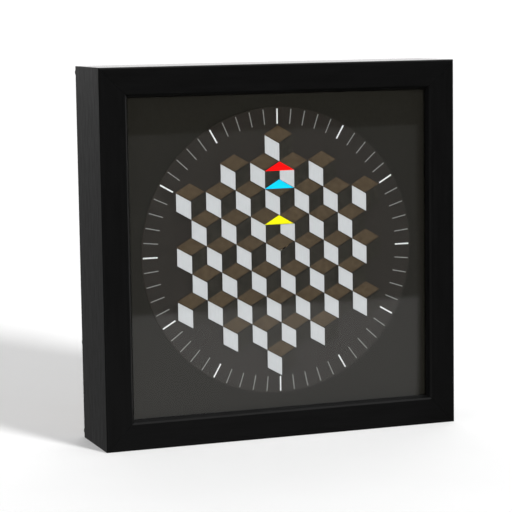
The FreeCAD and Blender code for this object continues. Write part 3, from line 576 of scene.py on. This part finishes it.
def rail(side, turn):
    """A mitred rail along its own X, turned into place. Its ends slope in by a hair, which leaves a
    fine line at the mitres."""
    inner = shrunk(SECTION, GROOVE)
    points, faces, rings = [], [], []
    for outline, reach, end in ((inner, MITRE_GAP, -1), (SECTION, GROOVE + MITRE_GAP, -1),
                                (SECTION, GROOVE + MITRE_GAP, 1), (inner, MITRE_GAP, 1)):
        rings.append(range(len(points), len(points) + len(outline)))
        points += [(end * (p.x - reach), p.y, p.x) for p in outline]
    count = len(SECTION)
    for near, far in zip(rings, rings[1:]):
        for index in range(count):
            following = (index + 1) % count
            faces.append((near[index], near[following], far[following], far[index]))
    faces += [list(rings[0]), list(rings[-1])]
    name = "rail_" + side
    made = piece(name + "_finish", points, faces, BLACK, "frame", "frame_black", [name], 30.0)
    made.matrix_world = (Matrix.Translation((0.0, FRONT_Y, AXIS_Z))
                         @ Matrix.Rotation(math.radians(turn), 4, "Y"))


for side, turn in (("top", 0), ("right", 90), ("bottom", 180), ("left", 270)):
    rail(side, turn)


# ---- screws, pads, cell, contact spring and lid marks -----------------------------------------

def islands(node):
    """The boxes of the separate solids of a node, in millimetres."""
    work = bmesh.new()
    work.from_mesh(NODES[node].data)
    bmesh.ops.remove_doubles(work, verts=work.verts, dist=1e-6)
    waiting, boxes = set(work.verts), []
    while waiting:
        edge, found = [waiting.pop()], []
        while edge:
            here = edge.pop()
            found.append(here.co / MM)
            for link in here.link_edges:
                there = link.other_vert(here)
                if there in waiting:
                    waiting.remove(there)
                    edge.append(there)
        low = Vector(min(p[i] for p in found) for i in range(3))
        high = Vector(max(p[i] for p in found) for i in range(3))
        boxes.append((low, high))
    work.free()
    return sorted(boxes, key=lambda pair: tuple(pair[0]))


def carved(name, body, tool):
    """The mesh of one shape with another cut out of it."""
    things = []
    for label, shape in (("_body", body), ("_tool", tool)):
        thing = bpy.data.objects.new(name + label, mesh_of(name + label, *shape))
        bpy.context.scene.collection.objects.link(thing)
        things.append(thing)
    carve = things[0].modifiers.new("carve", "BOOLEAN")
    carve.operation, carve.solver, carve.object = "DIFFERENCE", "EXACT", things[1]
    graph = bpy.context.evaluated_depsgraph_get()
    mesh = bpy.data.meshes.new_from_object(things[0].evaluated_get(graph))
    for thing in things:
        bpy.data.objects.remove(thing)
    return mesh


def prism(outline, near, far, shrink=1.0):
    """A prism along Y over an outline of (x, z) points. Its far end may be smaller."""
    count = len(outline)
    points = [(x, near, z) for x, z in outline] + [(x * shrink, far, z * shrink) for x, z in outline]
    faces = [(i, (i + 1) % count, count + (i + 1) % count, count + i) for i in range(count)]
    return points, faces + [list(range(count)), list(range(count, 2 * count))]


SCREW_SHANK, SCREW_HEAD, SCREW_RIM = 1.5, 1.3, 0.32        # radius, height, height of its rim
CROSS_ARM, CROSS_HALF, CROSS_DEPTH = 1.75, 0.36, 0.85      # of the recess in a screw's head
CUT_CLEAR = 0.2                                            # how far a cutting tool stands out


def screws(node, turns):
    """Pan-head screws with a cross recess, one for each solid of the node."""
    bodies, tools = [], []
    for (low, high), turn in zip(islands(node), turns):
        centre = Vector(((low.x + high.x) / 2, 0.0, (low.z + high.z) / 2))
        radius, under = (high.x - low.x) / 2, high.y - SCREW_HEAD
        profile = [(0.0, low.y), (SCREW_SHANK, low.y), (SCREW_SHANK, under), (radius, under)]
        profile += quarter_round(0.0, radius, under + SCREW_RIM, SCREW_HEAD - SCREW_RIM, 8, 0.7)
        points, faces = lathe(profile)
        bodies.append((moved(points, centre), faces))
        cross = []
        for quarter in range(4):
            spin = Matrix.Rotation(math.radians(90 * quarter + turn), 2)
            for corner in ((CROSS_ARM, -CROSS_HALF), (CROSS_ARM, CROSS_HALF),
                           (CROSS_HALF, CROSS_HALF)):
                cross.append(tuple(spin @ Vector(corner)))
        points, faces = prism(cross, high.y + CUT_CLEAR, high.y - CROSS_DEPTH, 0.5)
        tools.append((moved(points, centre), faces))
    mesh = carved(node, joined(*bodies), joined(*tools))
    show(node + "_finish", mesh, SCREW, "frame", [node], 30.0)


def pads():
    """Soft round feet with a rolled edge."""
    roll = 1.1
    shapes = []
    for low, high in islands("bumper_pads"):
        radius = (high.x - low.x) / 2
        profile = [(0.0, low.y), (radius, low.y)]
        profile += quarter_round(radius - roll, roll, high.y - roll, roll, 6)
        profile.append((0.0, high.y))
        points, faces = lathe(profile)
        shapes.append((moved(points, ((low.x + high.x) / 2, 0.0, (low.z + high.z) / 2)), faces))
    piece("bumper_pads_finish", *joined(*shapes), RUBBER, "frame", "rubber_black",
          ["bumper_pads"], 50.0)


def cell():
    """An AA cell: a steel can with a nub, in a printed sleeve that is rolled over its ends."""
    low, high = box_mm("battery")
    start, end, radius = low.x, high.x, (high.z - low.z) / 2
    shoulder = end - 1.1                # the nub stands out from here
    nub = 2.7                           # its radius
    thin, tucked = 0.09, 0.08           # the sleeve's thickness, and how far its ends turn in
    can = [(0.0, start + 0.3), (4.8, start + 0.3), (5.1, start), (5.9, start),
           (6.3, start + 0.3), (radius - 0.35, start + 0.8), (radius - 0.12, start + 1.3),
           (radius - 0.12, shoulder - 1.4), (radius - 0.4, shoulder - 0.7),
           (radius - 1.0, shoulder - 0.22), (4.4, shoulder - 0.2), (4.2, shoulder),
           (nub + 0.5, shoulder), (nub + 0.05, shoulder + 0.15), (nub, shoulder + 0.4),
           (nub, end - 0.25), (nub - 0.25, end), (0.0, end)]
    outer = [(6.25, start + 0.35), (6.7, start + 0.55), (radius - 0.06, start + 0.95),
             (radius, start + 1.4), (radius, shoulder - 1.5), (radius - 0.1, shoulder - 1.0),
             (radius - 0.5, shoulder - 0.4), (radius - 1.0, shoulder - 0.15)]
    inner = [(r - thin, x - math.copysign(tucked, x)) for r, x in reversed(outer)]
    along = Matrix.Rotation(math.radians(-90), 3, "Z")
    centre = (0.0, (low.y + high.y) / 2, (low.z + high.z) / 2)
    points, faces = lathe(can, 64)
    piece("battery_can", moved(points, centre, along), faces, SCREW, "battery_body",
          "steel", ["battery"], 40.0)
    points, faces = lathe(outer + inner + outer[:1], 64)
    piece("battery_sleeve", moved(points, centre, along), faces,
          sleeve_material(start * MM, (end - start) * MM), "battery_body", "battery_sleeve",
          ["battery"], 40.0)


def tube(path, radius, sides=10):
    """A round wire along a path of points. Its ends are closed."""
    points, faces = [], []
    for index, here in enumerate(path):
        ahead = (path[min(index + 1, len(path) - 1)] - path[max(index - 1, 0)]).normalized()
        across = ahead.cross(Vector((1, 0, 0))).normalized()
        upward = ahead.cross(across)
        for side in range(sides):
            angle = 2 * math.pi * side / sides
            points.append(here + (across * math.cos(angle) + upward * math.sin(angle)) * radius)
    for ring in range(len(path) - 1):
        for side in range(sides):
            a, b = ring * sides + side, ring * sides + (side + 1) % sides
            faces.append((a, b, b + sides, a + sides))
    return points, faces + [list(range(sides)), list(range(len(points) - sides, len(points)))]


def spring():
    """The flat coil spring that presses on the cell's negative end."""
    wire, wide, narrow, coils, steps = 0.22, 4.9, 1.9, 2.6, 110
    start = box_mm("contact_negative")[1].x + wire
    end = box_mm("battery")[0].x - wire
    centre = middle("battery")
    path = []
    for step in range(steps + 1):
        share = step / steps
        across, upward = place_on(2 * math.pi * coils * share, wide + (narrow - wide) * share)
        path.append(Vector((start + (end - start) * share, centre.y + across,
                            centre.z + upward)))
    piece("contact_spring", *tube(path, wire), ZINC, "frame", "steel", [], 40.0)


def lid_marks():
    """Raised marks moulded on the lid: two arrows round the knob, grip ribs, plus and minus."""
    inner, outer, sweep, point = 9.0, 9.7, 105.0, 120.0         # an arrow's radii and angles
    tip, barb_in, barb_out = 9.35, 8.1, 10.6                    # the radii of its head
    back = box_mm("movement_back_shell")[1].y
    near, far = back - 0.1, back + 0.22
    knob = middle("setting_knob")
    shapes = []
    for begin in (25.0, 205.0):
        angles = [math.radians(begin + sweep * step / 24) for step in range(25)]
        stop = angles[-1]
        outline = [place_on(a, outer) for a in angles]
        outline += [place_on(stop, barb_out), place_on(math.radians(begin + point), tip),
                    place_on(stop, barb_in)]
        outline += [place_on(a, inner) for a in reversed(angles)]
        points, faces = prism(outline, near, far)
        shapes.append((moved(points, (knob.x, 0.0, knob.z)), faces))
    bars = [(x, 14.4, 0.8, 15.0) for x in (-24.0, -21.6, -19.2, 19.2, 21.6, 24.0)]
    bars += [(20.0, -7.4, 4.0, 0.8), (20.0, -7.4, 0.8, 4.0), (-20.0, -7.4, 4.0, 0.8)]
    for x, z, wide, tall in bars:
        radius = min(wide, tall) * 0.45
        outline = rounded([(wide / 2, tall / 2, radius), (-wide / 2, tall / 2, radius),
                           (-wide / 2, -tall / 2, radius), (wide / 2, -tall / 2, radius)])
        points, faces = prism([(p.x, p.y) for p in outline], near, far)
        shapes.append((moved(points, (x, 0.0, z + AXIS_Z / MM)), faces))
    piece("lid_marks", *joined(*shapes), CASE_LID, "frame", "case_black", [], 30.0)


screws("turn_button_screws", (12.0, 71.0, 38.0, 55.0))
screws("hanger_screws", (24.0, 66.0))
pads()
cell()
spring()
lid_marks()


# ---- materials of the nodes that stay ----------------------------------------------------------

FINISHES = {
    "corner_blocks": RAW_WOOD, "glazing_pane": GLASS, "spacer_top": DIAL, "spacer_bottom": DIAL,
    "spacer_left": DIAL, "spacer_right": DIAL, "dial_board": DIAL_BOARD,
    "dial_plate": DIAL_CIRCLE, "major_ticks": MARK_WHITE, "minor_ticks": MARK_GREY,
    "second_disc": ACRYLIC, "minute_disc": ACRYLIC, "hour_disc": ACRYLIC,
    "second_tiles": TILE_WHITE, "minute_tiles": TILE_DARK, "hour_tiles": TILE_BROWN,
    "second_pointer": RED, "minute_pointer": BLUE, "hour_pointer": YELLOW,
    "minute_collet": ACRYLIC, "hour_collet": BRASS, "second_arbor": SCREW,
    "third_wheel": NYLON, "centre_wheel": NYLON, "fifth_wheel": NYLON, "rotor": MAGNET,
    "minute_arbor": BRASS, "hour_wheel": NYLON, "motion_wheel": NYLON, "setting_knob": KNOB,
    "movement_front_shell": CASE, "movement_back_shell": CASE_LID, "threaded_bush": BRASS,
    "bush_nut": BRASS, "train_bridge": NYLON, "stator": ZINC, "coil_core": ZINC,
    "coil_bobbin": NYLON, "coil_winding": COPPER, "circuit_board": CIRCUIT,
    "quartz_crystal": SCREW, "contact_negative": ZINC, "contact_positive": ZINC,
    "back_panel": HARDBOARD, "hanger": ZINC, "turn_button_top": ZINC,
    "turn_button_bottom": ZINC, "turn_button_left": ZINC, "turn_button_right": ZINC,
}
for node, material in FINISHES.items():
    thing = NODES[node]
    if not thing.material_slots:
        thing.data.materials.append(material)
    for holder in thing.material_slots:
        holder.material = material

# How wide the softened edges of some nodes are, in millimetres.
EDGES = {"movement_front_shell": 0.5, "movement_back_shell": 0.35, "setting_knob": 0.3,
         "back_panel": 0.3, "turn_button_top": 0.3, "turn_button_bottom": 0.3,
         "turn_button_left": 0.3, "turn_button_right": 0.3, "hanger": 0.15}
for node, width in EDGES.items():
    thing = NODES[node]
    bevel = thing.modifiers.new("soft_edges", "BEVEL")
    bevel.width = width * MM
    bevel.segments = 3
    bevel.limit_method = "ANGLE"
    bevel.angle_limit = math.radians(40)


# ---- floor, light, camera ----------------------------------------------------------------------

def floor():
    """A wide sheet of white paper that the clock stands on. A little glow evens it out."""
    mesh = bpy.data.meshes.new("floor")
    reach, glow = 30.0, 0.125
    mesh.from_pydata([(-reach, -reach, LOW.z), (reach, -reach, LOW.z), (reach, reach, LOW.z),
                      (-reach, reach, LOW.z)], [], [(0, 1, 2, 3)])
    made = bpy.data.objects.new("floor", mesh)
    bpy.context.scene.collection.objects.link(made)
    paper = surface(
        "floor_paper",
        two_tone(tone(0.865), tone(0.875), 60.0),
        rough_between(0.8, 0.9, 8.0),
        relief_of((3.0, 0.02, EVEN),),
        specular=0.1)
    shader = paper.node_tree.nodes["Principled BSDF"]
    shader.inputs["Emission Color"].default_value = (1, 1, 1, 1)
    shader.inputs["Emission Strength"].default_value = glow
    mesh.materials.append(paper)
    made.visible_glossy = False
    return made


def studio():
    """A white room. In mirrors it is a studio: white above and behind, and in front, as low as the
    glass mirrors it, a lit zone under a dim one, with darkness above them and to the right."""
    lit, dim, above_back, above_front, ceiling = 0.53, 0.14, 1.0, 0.12, 1.6
    below_left, below_right, side_panel = 0.04, 0.15, 1.3
    seen_level, unseen_level = 1.2, 0.35                    # for the camera, for diffuse light
    # Slopes of a mirrored ray, in height or sideways for its way ahead, where the zones change.
    zone_edge, dark_edge, right_edge = (-0.158, -0.154), (-0.0626, -0.0606), (0.461, 0.4655)
    world = bpy.data.worlds.new("studio")
    bpy.context.scene.world = world
    world.use_nodes = True
    net = Net(world.node_tree)
    split = net.add("SeparateXYZ")
    net.tree.links.new(net.add("TexCoord").outputs["Generated"], split.inputs[0])
    x, y, z = split.outputs

    def inverse(socket):
        return net.math("SUBTRACT", 1.0, socket)

    def both(first, first_share, second, second_share):
        return net.math("ADD", net.math("MULTIPLY", first, first_share),
                        net.math("MULTIPLY", second, second_share))

    ahead = net.math("MAXIMUM", net.math("MULTIPLY", y, -1.0), 0.001)
    rise, swing = net.math("DIVIDE", z, ahead), net.math("DIVIDE", x, ahead)
    zones = net.ramp(rise, *zone_edge, lit, dim)
    dark = net.math("MAXIMUM", net.ramp(rise, *dark_edge), net.ramp(swing, *right_edge))
    front = net.math("MULTIPLY", zones, inverse(dark))
    below = both(front, net.ramp(y, -0.5, -0.2, 1.0, 0.0),
                 net.ramp(x, -0.9, -0.2, below_left, below_right), net.ramp(y, -0.2, 0.3))
    high = net.ramp(z, 0.15, 0.55)
    above = both(net.ramp(y, 0.0, 0.6, above_front, above_back), inverse(high), high, ceiling)
    up = net.ramp(z, -0.01, 0.005)
    panel = net.math("MULTIPLY", net.ramp(x, 0.93, 0.96), net.ramp(z, 0.1, 0.25, side_panel, 0.0))
    mirrored = net.math("ADD", both(below, inverse(up), above, up), panel)
    path = net.add("LightPath")
    plain = net.math("ADD", unseen_level, net.math(
        "MULTIPLY", path.outputs["Is Camera Ray"], seen_level - unseen_level))
    gloss = path.outputs["Is Glossy Ray"]
    background = net.add("Background")
    background.inputs["Color"].default_value = (1.0, 1.0, 1.0, 1.0)
    net.feed(background.inputs["Strength"], both(mirrored, gloss, plain, inverse(gloss)))
    output = net.add("OutputWorld")
    net.tree.links.new(background.outputs[0], output.inputs["Surface"])


def lamp(name, toward, spread, strength):
    """A far soft light in a direction from the clock. spread is how wide it looks, in degrees."""
    data = bpy.data.lights.new(name, "SUN")
    data.angle = math.radians(spread)
    data.energy = strength
    made = bpy.data.objects.new(name, data)
    bpy.context.scene.collection.objects.link(made)
    made.rotation_mode = "QUATERNION"
    made.rotation_quaternion = Vector(toward).to_track_quat("Z", "Y")
    made.visible_glossy = False
    return made


def camera():
    """A long lens, a little above and to the left of the clock."""
    data = bpy.data.cameras.new("camera")
    data.sensor_width = 36.0
    data.lens = 142.4
    data.clip_start, data.clip_end = 0.05, 200.0
    made = bpy.data.objects.new("camera", data)
    bpy.context.scene.collection.objects.link(made)
    bpy.context.scene.camera = made
    azimuth, fall, roll = (math.radians(angle) for angle in (20.255, 6.854, -0.838))
    look = Vector((math.sin(azimuth) * math.cos(fall), math.cos(azimuth) * math.cos(fall),
                   -math.sin(fall)))
    right = Vector((math.cos(azimuth), -math.sin(azimuth), 0.0))
    up = right.cross(look)
    across = right * math.cos(roll) + up * math.sin(roll)
    upright = up * math.cos(roll) - right * math.sin(roll)
    turned = Matrix((across, upright, -look)).transposed().to_4x4()
    made.matrix_world = Matrix.Translation((-0.4802, -1.2767, 0.2834)) @ turned


paper_floor = floor()
studio()
lamp("front", (-0.30, -1.0, 0.11), 5.0, 3.0)
lamp("rear", (0.5, 1.0, 0.9), 50.0, 0.7)
side_lamp = lamp("side", (0.42, -1.0, 0.42), 12.0, 4.15)
only_floor = bpy.data.collections.new("only_floor")     # the side lamp lights nothing else
only_floor.objects.link(paper_floor)
side_lamp.light_linking.receiver_collection = only_floor
camera()
bpy.context.scene.view_settings.view_transform = "Standard"
bpy.context.scene.cycles.transparent_max_bounces = 32   # the glass and discs are ten faces deep
